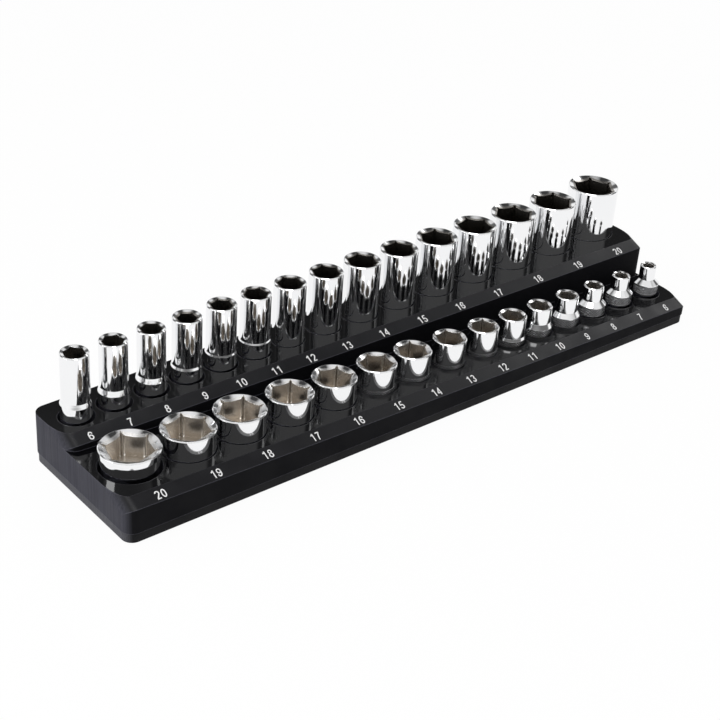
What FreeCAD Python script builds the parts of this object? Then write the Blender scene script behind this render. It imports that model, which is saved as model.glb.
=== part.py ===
import FreeCAD, Part
import math
import os

import Sketcher

# Two-tier socket organiser: a moulded tray with thirty wells over a base plate, magnets on steel strips
# between them, and thirty 3/8 inch drive sockets that stand in the wells.
# Frame: X along the tray, Y from the front to the back, Z up, origin at the middle of the underside.

doc = FreeCAD.newDocument("SocketOrganiser")
sheet = doc.addObject("Spreadsheet::Sheet", "Sizes")

SHALLOW = "shallow"
DEEP = "deep"
ROWS = (SHALLOW, DEEP)
SIZES = list(range(6, 21))
SHALLOW_ORDER = SIZES[::-1]
DEEP_ORDER = SIZES
STEPPED = [size for size in SIZES if size <= 11]
SAME_PLACE = 1e-6

# ---- driving dimensions, mm ------------------------------------------------------------------------------

TRAY = {
    "end_margin_wide": 5.6,       # end wall to the smallest well of a row
    "end_margin_narrow": 3.3,     # end wall to the largest well of a row
    "front_margin": 12.3,         # front wall to the nearest edge of every front well
    "step_land": 7.5,             # back edge of the front wells to the foot of the step
    "deep_land": 2.1,             # lip of the step to the smallest back well
    "back_margin": 1.9,           # back wall to the largest back well
    "slope_run": 7.0,             # label slope, front to back
    "slope_drop": 3.0,            # label slope, top to bottom
    "lower_top_left": 21.0,       # height of the lower deck at its left end
    "lower_top_right": 13.4,
    "upper_top_left": 26.6,       # height of the upper deck at its left end
    "upper_top_right": 35.4,
    "corner_radius": 6.0,
    "wall": 2.2,                  # outer wall and deck of the moulding
    "well_wall": 1.6,
    "well_floor": 1.0,
    "well_clearance": 0.45,       # gap round the widest part of a socket
    "band_inset": 0.5,            # the rim stands this far inside the tray's walls
    "band_wall": 2.0,
    "plate_floor": 1.5,
    "strip_thickness": 0.6,
    "strip_half_width": 6.5,
    "strip_end": 7.0,             # strip beyond the centre of the last magnet
    "magnet_diameter": 10.0,
    "magnet_thickness": 2.9,
}

SCREW = {
    "screw_end_margin": 30.0,     # end wall to the first screw
    "screw_shank": 2.9,
    "screw_length": 7.5,          # under the head
    "screw_tip_gap": 0.5,
    "screw_head": 5.6,
    "screw_head_height": 2.0,
    "screw_recess_width": 0.7,
    "screw_recess_span": 3.2,
    "screw_recess_depth": 1.0,
    "screw_clearance": 0.3,       # hole in the plate, over the shank and over the head
    "screw_sink": 0.3,            # top of the head below the underside of the plate
    "pilot_clearance": 0.05,
    "boss_wall": 2.1,
}
SCREWS = 6

SOCKET = {
    "shallow_length": 25.3,
    "drive_square": 9.6,
    "drive_depth": 10.2,
    "shallow_hex_depth": 12.0,
    "deep_hex_depth": 18.0,
    "hex_clearance": 0.15,        # across flats, over the nominal size
    "relief_share": 0.045,        # corner relief radius over the across-flats size
    "rim_land": 0.1,              # flat ring between the mouth cone and the rim's chamfer
    "mouth_slope": 0.45,          # mouth cone, depth over radius
    "rim_chamfer": 0.45,
    "base_chamfer": 0.5,
    "ring_thickness": 0.5,        # ring at the foot of a small shallow socket's neck
    "ring_overhang": 0.3,         # the ring over the drive end below it
    "lead_depth": 8.0,            # wide lead-in above the hex of the smallest deep sockets
    "taper_top": 22.0,            # the largest shallow socket narrows below this height
    "taper_foot": 15.0,
}

# Outer diameter of the drive end. The wells are made to it.
DRIVE_END = {6: 16.8, 7: 16.8, 8: 16.8, 9: 16.8, 10: 16.8, 11: 16.8, 12: 16.8, 13: 18.0, 14: 19.8,
             15: 20.6, 16: 22.8, 17: 24.0, 18: 25.9, 19: 26.6, 20: 29.0}
# Outer diameter of the hex end of the stepped sockets. The others are straight.
SHALLOW_NECK = {6: 9.2, 7: 10.2, 8: 11.4, 9: 12.9, 10: 14.0, 11: 15.3}
DEEP_NECK = {6: 13.9, 7: 14.0, 8: 14.1, 9: 14.9, 10: 15.3, 11: 15.7}
# Across the flats of the lead-in above the hex.
LEAD_FLATS = {6: 9.7, 7: 9.8, 8: 9.8}
NARROW_END_20 = 27.0
# Bore between the hex and the drive square.
BORE = {6: 4.6, 7: 5.6, 8: 6.6, 9: 7.4, 10: 8.0, 11: 8.4}
LARGE_BORE = 8.8
# Shallow stepped sockets: diameter of the ring, height of its underside and of the top of the flare.
RING = {6: 15.2, 7: 15.8, 8: 16.4, 9: 16.6, 10: 16.4, 11: 16.4}
RING_FOOT = {6: 14.4, 7: 14.5, 8: 14.1, 9: 13.5, 10: 13.0, 11: 12.3}
FLARE_TOP = {6: 17.2, 7: 17.3, 8: 16.9, 9: 16.5, 10: 16.3, 11: 14.2}
# Deep stepped sockets: diameter of the drive end, height of its top and of the foot of the neck.
DEEP_END = {6: 15.3, 7: 15.4, 8: 15.4, 9: 15.7, 10: 16.0, 11: 16.4}
DEEP_SHOULDER = {6: 28.6, 7: 28.6, 8: 28.6, 9: 29.2, 10: 30.6, 11: 31.2}
DEEP_NECK_FOOT = {6: 30.9, 7: 31.4, 8: 31.3, 9: 30.5, 10: 31.5, 11: 31.9}
DEEP_LENGTH = {size: 55.5 if size < 10 else 56.5 for size in SIZES}
DEEP_LENGTH[20] = 58.0
# Degrees that each socket stands turned in its well, from a corner of its hex on X.
SHALLOW_TURN = {6: 45, 7: 49, 8: 15, 9: 28, 10: 6, 11: 10, 12: 51, 13: 5, 14: 0, 15: 23, 16: 44, 17: 51,
                18: 46, 19: 13, 20: 17}
DEEP_TURN = {6: 18, 7: 41, 8: 27, 9: 30, 10: 16, 11: 40, 12: 24, 13: 9, 14: 9, 15: 2, 16: 56, 17: 16,
             18: 42, 19: 44, 20: 53}

# Land between each well and the next one of its row, named by the smaller socket.
SHALLOW_LAND = {19: 1.75, 18: 1.55, 17: 2.7, 16: 2.6, 15: 3.6, 14: 2.45, 13: 4.85, 12: 5.1,
                11: 3.85, 10: 2.8, 9: 3.85, 8: 3.7, 7: 4.9, 6: 5.65}
DEEP_LAND = {6: 2.65, 7: 3.0, 8: 2.4, 9: 2.25, 10: 2.75, 11: 3.35, 12: 4.6, 13: 3.95, 14: 4.1, 15: 4.15,
             16: 3.7, 17: 3.65, 18: 4.35, 19: 5.0}

# ---- the sheet -------------------------------------------------------------------------------------------

next_row = 1


def put(alias, content):
    """Write one cell of the sheet: its alias in column A, its number or formula in column B."""
    global next_row
    sheet.set("A%d" % next_row, alias)
    sheet.set("B%d" % next_row, str(content))
    sheet.setAlias("B%d" % next_row, alias)
    next_row += 1


def bind(thing, **formulas):
    """Bind properties of an object to formulas on the sheet's aliases."""
    for prop, formula in formulas.items():
        thing.setExpression(prop.replace("__", "."), formula)
    return thing


for group in (TRAY, SCREW, SOCKET):
    for alias, value in group.items():
        put(alias, value)
put("narrow_end_20", NARROW_END_20)
put("large_bore", LARGE_BORE)
for size in SIZES:
    put("nominal_%d" % size, size)
    put("drive_end_%d" % size, DRIVE_END[size])
    put("deep_length_%d" % size, DEEP_LENGTH[size])
    put("shallow_turn_%d" % size, SHALLOW_TURN[size])
    put("deep_turn_%d" % size, DEEP_TURN[size])
for size in STEPPED:
    put("shallow_neck_%d" % size, SHALLOW_NECK[size])
    put("deep_neck_%d" % size, DEEP_NECK[size])
    put("bore_%d" % size, BORE[size])
    put("ring_%d" % size, RING[size])
    put("ring_foot_%d" % size, RING_FOOT[size])
    put("flare_top_%d" % size, FLARE_TOP[size])
    put("deep_end_%d" % size, DEEP_END[size])
    put("deep_shoulder_%d" % size, DEEP_SHOULDER[size])
    put("deep_neck_foot_%d" % size, DEEP_NECK_FOOT[size])
for size, flats in LEAD_FLATS.items():
    put("lead_flats_%d" % size, flats)
for size, land in SHALLOW_LAND.items():
    put("shallow_land_%d" % size, land)
for size, land in DEEP_LAND.items():
    put("deep_land_%d" % size, land)

# Heights from the underside up.
put("strip_top", "=plate_floor + strip_thickness")
put("band_height", "=strip_top + magnet_thickness")
put("seat", "=band_height + well_floor")

# Wells, from the sockets that stand in them.
for size in SIZES:
    put("well_radius_%d" % size, "=drive_end_%d / 2 + well_clearance" % size)

# Places along a row, measured from the end of its first well.


def row_places(row, order):
    put("%s_run_%d" % (row, order[0]), "=well_radius_%d" % order[0])
    for before, size in zip(order, order[1:]):
        land = "%s_land_%d" % (row, min(before, size))
        terms = (row, before, before, size, land)
        put("%s_run_%d" % (row, size), "=%s_run_%d + well_radius_%d + well_radius_%d + %s" % terms)
    put("%s_row_length" % row, "=%s_run_%d + well_radius_%d" % (row, order[-1], order[-1]))


row_places(SHALLOW, SHALLOW_ORDER)
row_places(DEEP, DEEP_ORDER)
put("tray_length", "=max(shallow_row_length; deep_row_length) + end_margin_wide + end_margin_narrow")
put("tray_right", "=tray_length / 2")
put("tray_left", "=-tray_right")

# Lines across the tray, measured from its front wall, then from the middle.
put("foot_left_y", "=front_margin + 2 * well_radius_20 + step_land")
put("foot_right_y", "=front_margin + 2 * well_radius_6 + step_land")
put("deep_row_y", "=foot_left_y + slope_run + deep_land + well_radius_6")
put("tray_depth", "=deep_row_y + well_radius_20 + back_margin")
put("tray_back", "=tray_depth / 2")
put("tray_front", "=-tray_back")
put("foot_left", "=tray_front + foot_left_y")
put("foot_right", "=tray_front + foot_right_y")

for size in SIZES:
    put("shallow_x_%d" % size, "=tray_left + end_margin_narrow + shallow_run_%d" % size)
    put("shallow_y_%d" % size, "=tray_front + front_margin + well_radius_%d" % size)
    put("deep_x_%d" % size, "=tray_right - end_margin_narrow - deep_row_length + deep_run_%d" % size)
    put("deep_y_%d" % size, "=tray_front + deep_row_y")

# Inside of the moulding: the slope plane moves in by one wall, measured square to it.
put("slope_length", "=sqrt(slope_run ^ 2 + slope_drop ^ 2)")
put("slope_lift", "=wall * (slope_length - slope_drop) / slope_run")
put("inner_drop", "=slope_drop + slope_lift - wall")
put("inner_run", "=inner_drop * slope_run / slope_drop")
put("inner_radius", "=corner_radius - wall")

doc.recompute()


def size_of(alias):
    return float(sheet.get(alias))


# ---- helpers ---------------------------------------------------------------------------------------------


def origin_plane(body, role):
    return next(feature for feature in body.Origin.OriginFeatures if feature.Role == role)


def new_sketch(body, name, role, offset=None):
    """Sketch on one of the body's own origin planes, raised from it by a formula."""
    sketch = body.newObject("Sketcher::SketchObject", name)
    sketch.AttachmentSupport = [(origin_plane(body, role), "")]
    sketch.MapMode = "FlatFace"
    if offset:
        bind(sketch, AttachmentOffset__Base__z=offset)
    return sketch


def constrain(sketch, formula, *args):
    index = sketch.addConstraint(Sketcher.Constraint(*args))
    sketch.setExpression("Constraints[%d]" % index, formula)


def place_point(sketch, geometry, end, across, up):
    """Tie a point to the sketch's axes. Each length comes with its formula, or is None on the axis."""
    if across is None:
        sketch.addConstraint(Sketcher.Constraint("PointOnObject", geometry, end, -2))
    else:
        constrain(sketch, across[1], "DistanceX", -1, 1, geometry, end, across[0])
    if up is None:
        sketch.addConstraint(Sketcher.Constraint("PointOnObject", geometry, end, -1))
    else:
        constrain(sketch, up[1], "DistanceY", -1, 1, geometry, end, up[0])


def cell(alias):
    """A length on the sheet: its present value and the formula that keeps it."""
    return (size_of(alias), "Sizes.%s" % alias)


def total(*terms):
    """Sum of signed aliases, such as total("seat", "-wall")."""
    value = 0.0
    text = ""
    for term in terms:
        sign = -1.0 if term.startswith("-") else 1.0
        alias = term.lstrip("-")
        value += sign * size_of(alias)
        text += " %s Sizes.%s" % ("-" if sign < 0 else "+", alias)
    return (value, text.strip(" +"))


def polygon(sketch, points):
    """Closed outline through points given as (across, up) pairs of lengths."""
    values = [(x[0] if x else 0.0, y[0] if y else 0.0) for x, y in points]
    count = len(points)
    for i in range(count):
        start = FreeCAD.Vector(values[i][0], values[i][1], 0)
        finish = FreeCAD.Vector(values[(i + 1) % count][0], values[(i + 1) % count][1], 0)
        sketch.addGeometry(Part.LineSegment(start, finish), False)
    for i in range(count):
        sketch.addConstraint(Sketcher.Constraint("Coincident", i, 2, (i + 1) % count, 1))
    for i, (across, up) in enumerate(points):
        place_point(sketch, i, 1, across, up)


def circles(sketch, diameter, centres):
    value, formula = diameter
    for x, y in centres:
        centre = FreeCAD.Vector(x[0] if x else 0.0, y[0] if y else 0.0, 0)
        index = sketch.addGeometry(Part.Circle(centre, FreeCAD.Vector(0, 0, 1), value / 2), False)
        constrain(sketch, formula, "Diameter", index, value)
        place_point(sketch, index, 3, x, y)


def cylinder(name, radius, height, x="0", y="0", z="0"):
    """Upright cylinder, all formulas on the sheet."""
    made = doc.addObject("Part::Cylinder", name)
    return bind(made, Radius=radius, Height=height, Placement__Base__x=x, Placement__Base__y=y,
                Placement__Base__z=z)


def box(name, length, width, height, x, y, z):
    made = doc.addObject("Part::Box", name)
    return bind(made, Length=length, Width=width, Height=height, Placement__Base__x=x,
                Placement__Base__y=y, Placement__Base__z=z)


def cut(name, base, tool):
    made = doc.addObject("Part::Cut", name)
    made.Base = base
    made.Tool = tool
    return made


def fuse(name, shapes):
    made = doc.addObject("Part::MultiFuse", name)
    made.Shapes = shapes
    return made


def group_of(name, shapes):
    """Identical loose pieces in one node, each a solid of its own."""
    made = doc.addObject("Part::Compound", name)
    made.Links = shapes
    return made


nodes = []


def keep(name, thing):
    thing.Label = name
    nodes.append(thing)
    return thing


def deck_height(tier, x_alias):
    """Formula of a deck's height above a place along the tray."""
    rise = "(Sizes.%s_top_right - Sizes.%s_top_left)" % (tier, tier)
    share = "(Sizes.%s - Sizes.tray_left) / Sizes.tray_length" % x_alias
    return "(Sizes.%s_top_left + %s * %s)" % (tier, rise, share)


# ---- tray shell ------------------------------------------------------------------------------------------


def end_profile(name, side, tier, inner):
    """Upright outline of one tier at one end of the tray."""
    wall = ["-wall"] if inner else []
    inward = ["wall"] if inner else []
    run = "inner_run" if inner else "slope_run"
    drop = "inner_drop" if inner else "slope_drop"
    front = ["tray_front" if tier == "lower" else "foot_%s" % side] + inward
    back = ["tray_back"] + wall
    top = ["%s_top_%s" % (tier, side)] + wall
    sketch = doc.addObject("Sketcher::SketchObject", "%s_%s" % (name, side))
    polygon(sketch, [
        (total(*front), cell("band_height")),
        (total(*back), cell("band_height")),
        (total(*back), total(*top)),
        (total(*front, run), total(*top)),
        (total(*front), total(*top, "-" + drop)),
    ])
    sketch.Placement = FreeCAD.Placement(FreeCAD.Vector(0, 0, 0), FreeCAD.Rotation(90, 0, 90))
    away = inward if side == "left" else wall
    return bind(sketch, Placement__Base__x=total("tray_%s" % side, *away)[1])


def corner_edges(shape):
    """Numbers of a tier's upright edges and of the two ends of its slope."""
    numbers = []
    for number, edge in enumerate(shape.Edges, start=1):
        first, last = (vertex.Point for vertex in edge.Vertexes)
        along_end = abs(first.x - last.x) < SAME_PLACE
        level = abs(first.z - last.z) < SAME_PLACE
        if along_end and not level:
            numbers.append(number)
    return numbers


def tier_block(name, tier, inner):
    """One tier, or the room inside it, between its two end profiles."""
    block = doc.addObject("Part::Loft", name)
    block.Sections = [end_profile(name, side, tier, inner) for side in ("left", "right")]
    block.Solid = True
    block.Ruled = True
    block.Linearize = True
    doc.recompute()
    return block


def rounded(name, base, numbers, radius):
    made = doc.addObject("Part::Fillet", name)
    made.Base = base
    made.Edges = [(number, radius, radius) for number in numbers]
    doc.recompute()
    return made


def rounded_tier(name, tier):
    """The outside of a tier: its front slope is carried round the corners with the walls."""
    block = tier_block(name + "_block", tier, False)
    return rounded(name, block, corner_edges(block.Shape), size_of("corner_radius"))


def rooms_inside():
    """The hollow under both decks, rounded in plan like the walls round it."""
    rooms = fuse("shell_rooms", [tier_block(tier + "_room", tier, True) for tier in ("lower", "upper")])
    plan = box("room_plan", "Sizes.tray_length - 2 * Sizes.wall", "Sizes.tray_depth - 2 * Sizes.wall",
               "max(Sizes.upper_top_left; Sizes.upper_top_right)", "Sizes.tray_left + Sizes.wall",
               "Sizes.tray_front + Sizes.wall", "0")
    doc.recompute()
    uprights = [int(edge[4:]) for edge in upright_edges(plan.Shape, 0.0)]
    limits = rounded("room_limits", plan, uprights, size_of("inner_radius"))
    made = doc.addObject("Part::Common", "shell_inside")
    made.Base = rooms
    made.Tool = limits
    return made


def tray_shell():
    outside = fuse("shell_outside", [rounded_tier(tier + "_tier", tier) for tier in ("lower", "upper")])
    tubes = []
    wells = []
    for row, tier in ((SHALLOW, "lower"), (DEEP, "upper")):
        for size in SIZES:
            place = {"x": "Sizes.%s_x_%d" % (row, size), "y": "Sizes.%s_y_%d" % (row, size)}
            radius = "Sizes.well_radius_%d" % size
            deck = deck_height(tier, "%s_x_%d" % (row, size))
            tubes.append(cylinder("%s_tube_%d" % (row, size), "%s + Sizes.well_wall" % radius,
                                  "%s - Sizes.wall / 2 - Sizes.band_height" % deck,
                                  z="Sizes.band_height", **place))
            wells.append(cylinder("%s_well_%d" % (row, size), radius,
                                  "%s + Sizes.slope_drop - Sizes.seat" % deck,
                                  z="Sizes.seat", **place))
    for number in range(SCREWS):
        place = {"x": screw_x(number)[1], "y": screw_y(number)[1]}
        boss_radius = "Sizes.screw_shank / 2 + Sizes.boss_wall"
        deck = "(Sizes.lower_top_left + (Sizes.lower_top_right - Sizes.lower_top_left) * %.6f)"
        tubes.append(cylinder("boss_%d" % number, boss_radius,
                              deck % screw_share(number) + " - Sizes.wall / 2 - Sizes.band_height",
                              z="Sizes.band_height", **place))
        wells.append(cylinder("pilot_%d" % number, "Sizes.screw_shank / 2 + Sizes.pilot_clearance",
                              "Sizes.screw_head_height + Sizes.screw_length + Sizes.screw_tip_gap",
                              z="Sizes.screw_sink", **place))
    hollows = cut("shell_hollows", rooms_inside(), fuse("shell_tubes", tubes))
    skin = cut("shell_skin", outside, hollows)
    keep("tray_shell", cut("shell_bored", skin, fuse("shell_bores", wells)))


# ---- screws: one line of them between the two rows -------------------------------------------------------


def screw_share(number):
    return number / (SCREWS - 1)


def screw_x(number):
    share = screw_share(number)
    half = size_of("tray_right") - size_of("screw_end_margin")
    return ((2 * share - 1) * half, "(Sizes.tray_right - Sizes.screw_end_margin) * %.6f" % (2 * share - 1))


def screw_y(number):
    """Half way across the land behind the front wells, which narrows along with the wells."""
    share = screw_share(number)
    value = size_of("foot_left") + (size_of("foot_right") - size_of("foot_left")) * share
    text = "(Sizes.foot_left + (Sizes.foot_right - Sizes.foot_left) * %.6f" % share
    return (value - size_of("step_land") / 2, text + " - Sizes.step_land / 2)")


def base_screws():
    screws = []
    for number in range(SCREWS):
        place = {"x": screw_x(number)[1], "y": screw_y(number)[1]}
        head = cylinder("screw_%d_head" % number, "Sizes.screw_head / 2", "Sizes.screw_head_height",
                        z="Sizes.screw_sink", **place)
        shank = cylinder("screw_%d_shank" % number, "Sizes.screw_shank / 2",
                         "Sizes.screw_head_height + Sizes.screw_length",
                         z="Sizes.screw_sink", **place)
        bars = []
        for name, length, width in (("across", "Sizes.screw_recess_span", "Sizes.screw_recess_width"),
                                    ("along", "Sizes.screw_recess_width", "Sizes.screw_recess_span")):
            bars.append(box("screw_%d_%s" % (number, name), length, width, "Sizes.screw_recess_depth",
                            "%s - %s / 2" % (place["x"], length), "%s - %s / 2" % (place["y"], width),
                            "Sizes.screw_sink"))
        solid = fuse("screw_%d_solid" % number, [head, shank])
        recess = fuse("screw_%d_recess" % number, bars)
        screws.append(cut("screw_%d" % number, solid, recess))
    keep("base_screws", group_of("screw_group", screws))


# ---- base plate ------------------------------------------------------------------------------------------


def rounded_outline(sketch, inset):
    """Rectangle inside the tray's walls by the given aliases, with the tray's corners."""
    right = total("tray_right", *["-" + alias for alias in inset])
    left = total("tray_left", *inset)
    back = total("tray_back", *["-" + alias for alias in inset])
    front = total("tray_front", *inset)
    polygon(sketch, [(left, front), (right, front), (right, back), (left, back)])


def upright_edges(shape, lowest):
    """Names of the vertical edges that start at a height."""
    names = []
    for number, edge in enumerate(shape.Edges, start=1):
        if len(edge.Vertexes) == 2:
            first, last = (vertex.Point for vertex in edge.Vertexes)
            upright = abs(first.x - last.x) < SAME_PLACE and abs(first.y - last.y) < SAME_PLACE
            if upright and abs(min(first.z, last.z) - lowest) < SAME_PLACE:
                names.append("Edge%d" % number)
    return names


def base_plate():
    body = doc.addObject("PartDesign::Body", "plate_body")
    outline = new_sketch(body, "plate_outline", "XY_Plane")
    rounded_outline(outline, ["band_inset"])
    block = body.newObject("PartDesign::Pad", "plate_block")
    block.Profile = outline
    bind(block, Length="Sizes.band_height")
    doc.recompute()
    corners = body.newObject("PartDesign::Fillet", "plate_corners")
    corners.Base = (block, upright_edges(block.Shape, 0.0))
    bind(corners, Radius="Sizes.corner_radius - Sizes.band_inset")
    doc.recompute()
    opening = new_sketch(body, "plate_opening", "XY_Plane", "Sizes.band_height")
    rounded_outline(opening, ["band_inset", "band_wall"])
    room = body.newObject("PartDesign::Pocket", "plate_room")
    room.Profile = opening
    bind(room, Length="Sizes.band_height - Sizes.plate_floor")
    doc.recompute()
    centres = [(screw_x(number), screw_y(number)) for number in range(SCREWS)]
    boss_sketch = new_sketch(body, "plate_boss_sketch", "XY_Plane")
    head_hole = total("screw_head", "screw_clearance")
    boss_width = (head_hole[0] + 2 * size_of("boss_wall"), head_hole[1] + " + 2 * Sizes.boss_wall")
    circles(boss_sketch, boss_width, centres)
    bosses = body.newObject("PartDesign::Pad", "plate_bosses")
    bosses.Profile = boss_sketch
    bind(bosses, Length="Sizes.band_height")
    head_sketch = new_sketch(body, "plate_head_sketch", "XY_Plane")
    circles(head_sketch, head_hole, centres)
    heads = body.newObject("PartDesign::Pocket", "plate_heads")
    heads.Profile = head_sketch
    heads.Reversed = True
    bind(heads, Length="Sizes.screw_sink + Sizes.screw_head_height")
    hole_sketch = new_sketch(body, "plate_hole_sketch", "XY_Plane")
    circles(hole_sketch, total("screw_shank", "screw_clearance"), centres)
    holes = body.newObject("PartDesign::Pocket", "plate_holes")
    holes.Profile = hole_sketch
    holes.Reversed = True
    bind(holes, Length="Sizes.band_height")
    body.Tip = holes
    keep("base_plate", body)


# ---- magnets and steel strips ----------------------------------------------------------------------------


def row_magnets(row):
    discs = []
    for size in SIZES:
        discs.append(cylinder("%s_magnet_%d" % (row, size), "Sizes.magnet_diameter / 2",
                              "Sizes.magnet_thickness", x="Sizes.%s_x_%d" % (row, size),
                              y="Sizes.%s_y_%d" % (row, size), z="Sizes.strip_top"))
    keep("%s_row_magnets" % row, group_of("%s_magnet_group" % row, discs))


def keeper_strip(row, order):
    """Steel strip under a row's magnets, along the line through its first and last wells."""
    first, last = order[0], order[-1]
    body = doc.addObject("PartDesign::Body", "%s_strip_body" % row)
    sketch = new_sketch(body, "%s_strip_sketch" % row, "XY_Plane", "Sizes.plate_floor")
    corners = []
    for size, end_sign, side_sign in ((first, "-", "-"), (last, "", "-"), (last, "", ""), (first, "-", "")):
        corners.append((total("%s_x_%d" % (row, size), end_sign + "strip_end"),
                        total("%s_y_%d" % (row, size), side_sign + "strip_half_width")))
    polygon(sketch, corners)
    plate = body.newObject("PartDesign::Pad", "%s_strip_pad" % row)
    plate.Profile = sketch
    bind(plate, Length="Sizes.strip_thickness")
    body.Tip = plate
    keep("%s_keeper_strip" % row, body)


# ---- sockets ---------------------------------------------------------------------------------------------


def socket_profile(row, size):
    """Half section of a socket from its bore outwards, as (radius, height) pairs."""
    bore_alias = "bore_%d" % size if size in STEPPED else "large_bore"
    bore = halved(bore_alias)
    end = halved("drive_end_%d" % size)
    length_alias = "shallow_length" if row == SHALLOW else "deep_length_%d" % size
    length = cell(length_alias)
    rim = end
    points = [(bore, None)]
    if row == SHALLOW and size in STEPPED:
        ring = halved("ring_%d" % size)
        barrel = plus(ring, "-ring_overhang")
        rim = halved("shallow_neck_%d" % size)
        foot = cell("ring_foot_%d" % size)
        points += base_edge(barrel)
        points += [(barrel, foot), (ring, foot), (ring, plus(foot, "ring_thickness")),
                   (rim, cell("flare_top_%d" % size))]
    elif row == DEEP and size in STEPPED:
        end = halved("deep_end_%d" % size)
        rim = halved("deep_neck_%d" % size)
        points += base_edge(end)
        points += [(end, cell("deep_shoulder_%d" % size)), (rim, cell("deep_neck_foot_%d" % size))]
    elif row == SHALLOW and size == SIZES[-1]:
        narrow = halved("narrow_end_20")
        points += base_edge(narrow)
        points += [(narrow, cell("taper_foot")), (end, cell("taper_top"))]
    else:
        points += base_edge(end)
    land = plus(rim, "-rim_chamfer")
    mouth = plus(land, "-rim_land")
    points += [(rim, plus(length, "-rim_chamfer")), (land, length), (mouth, length)]
    cone = "(%s - (%s))" % (mouth[1], bore[1])
    points.append((bore, (length[0] - size_of("mouth_slope") * (mouth[0] - bore[0]),
                          "%s - Sizes.mouth_slope * %s" % (length[1], cone))))
    return points


def halved(alias):
    return (size_of(alias) / 2, "Sizes.%s / 2" % alias)


def plus(length, term):
    more = total(term)
    joint = " " if term.startswith("-") else " + "
    return (length[0] + more[0], length[1] + joint + more[1])


def base_edge(radius):
    return [(plus(radius, "-base_chamfer"), None), (radius, cell("base_chamfer"))]


def hex_corner(size):
    """Radius of the circle through the corners of the hex."""
    flats = size_of("nominal_%d" % size) + size_of("hex_clearance")
    return (flats / math.sqrt(3), "(Sizes.nominal_%d + Sizes.hex_clearance) / sqrt(3)" % size)


def relief_radius(size):
    flats = size_of("nominal_%d" % size) + size_of("hex_clearance")
    text = "Sizes.relief_share * (Sizes.nominal_%d + Sizes.hex_clearance)" % size
    return (flats * size_of("relief_share"), text)


def hexagon(sketch, corner):
    """Regular hexagon on a construction circle, one corner on the sketch's horizontal axis."""
    value, formula = corner
    turns = [math.radians(60 * k) for k in range(7)]
    points = [FreeCAD.Vector(value * math.cos(turn), value * math.sin(turn), 0) for turn in turns]
    for start, finish in zip(points, points[1:]):
        sketch.addGeometry(Part.LineSegment(start, finish), False)
    for i in range(6):
        sketch.addConstraint(Sketcher.Constraint("Coincident", i, 2, (i + 1) % 6, 1))
    ring = sketch.addGeometry(Part.Circle(FreeCAD.Vector(0, 0, 0), FreeCAD.Vector(0, 0, 1), value), True)
    sketch.addConstraint(Sketcher.Constraint("Coincident", ring, 3, -1, 1))
    constrain(sketch, formula, "Radius", ring, value)
    for i in range(6):
        sketch.addConstraint(Sketcher.Constraint("PointOnObject", i, 1, ring))
    for i in range(1, 6):
        sketch.addConstraint(Sketcher.Constraint("Equal", 0, i))
    sketch.addConstraint(Sketcher.Constraint("PointOnObject", 0, 1, -1))


def pocket(body, name, sketch, depth, upward):
    made = body.newObject("PartDesign::Pocket", name)
    made.Profile = sketch
    made.Reversed = upward
    bind(made, Length=depth)
    return made


def socket(row, size):
    name = "%s_socket_%d" % (row, size)
    body = doc.addObject("PartDesign::Body", name + "_body")
    section = new_sketch(body, name + "_section", "XZ_Plane")
    polygon(section, socket_profile(row, size))
    turned = body.newObject("PartDesign::Revolution", name + "_turned")
    turned.Profile = section
    turned.ReferenceAxis = (section, ["V_Axis"])
    turned.Angle = 360.0
    length = "Sizes.shallow_length" if row == SHALLOW else "Sizes.deep_length_%d" % size
    hex_depth = "Sizes.%s_hex_depth" % row
    hex_sketch = new_sketch(body, name + "_hex_sketch", "XY_Plane", length)
    hexagon(hex_sketch, hex_corner(size))
    pocket(body, name + "_hex", hex_sketch, hex_depth, False)
    relief_sketch = new_sketch(body, name + "_relief_sketch", "XY_Plane", length)
    relief = relief_radius(size)
    circles(relief_sketch, (2 * relief[0], "2 * " + relief[1]), [(hex_corner(size), None)])
    groove = pocket(body, name + "_relief", relief_sketch, hex_depth, False)
    grooves = body.newObject("PartDesign::PolarPattern", name + "_reliefs")
    grooves.Originals = [groove]
    grooves.Axis = (relief_sketch, ["N_Axis"])
    grooves.Angle = 360.0
    grooves.Occurrences = 6
    body.Tip = grooves
    if row == DEEP and size in LEAD_FLATS:
        lead_sketch = new_sketch(body, name + "_lead_sketch", "XY_Plane", length)
        lead = cell("lead_flats_%d" % size)
        hexagon(lead_sketch, (lead[0] / math.sqrt(3), lead[1] + " / sqrt(3)"))
        pocket(body, name + "_lead", lead_sketch, "Sizes.lead_depth", False)
    square_sketch = new_sketch(body, name + "_square_sketch", "XY_Plane")
    half = halved("drive_square")
    minus_half = (-half[0], "-" + half[1])
    polygon(square_sketch, [(minus_half, minus_half), (half, minus_half), (half, half), (minus_half, half)])
    square = pocket(body, name + "_square", square_sketch, "Sizes.drive_depth", True)
    body.Tip = square
    bind(body, Placement__Base__x="Sizes.%s_x_%d" % (row, size),
         Placement__Base__y="Sizes.%s_y_%d" % (row, size), Placement__Base__z="Sizes.seat",
         Placement__Rotation__Angle="Sizes.%s_turn_%d * 1 deg" % (row, size))
    keep(name, body)


# ---- build, check and write ------------------------------------------------------------------------------

tray_shell()
base_plate()
for row, order in ((SHALLOW, SHALLOW_ORDER), (DEEP, DEEP_ORDER)):
    row_magnets(row)
    keeper_strip(row, order)
base_screws()
for row in ROWS:
    for size in SIZES:
        socket(row, size)
doc.recompute()

for thing in doc.Objects:
    if "Invalid" in thing.State or "Error" in thing.State:
        raise RuntimeError("%s did not build: %s" % (thing.Label, thing.State))
for node in nodes:
    if node.Shape.isNull() or not node.Shape.isValid():
        raise RuntimeError("%s has no valid shape" % node.Label)

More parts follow.
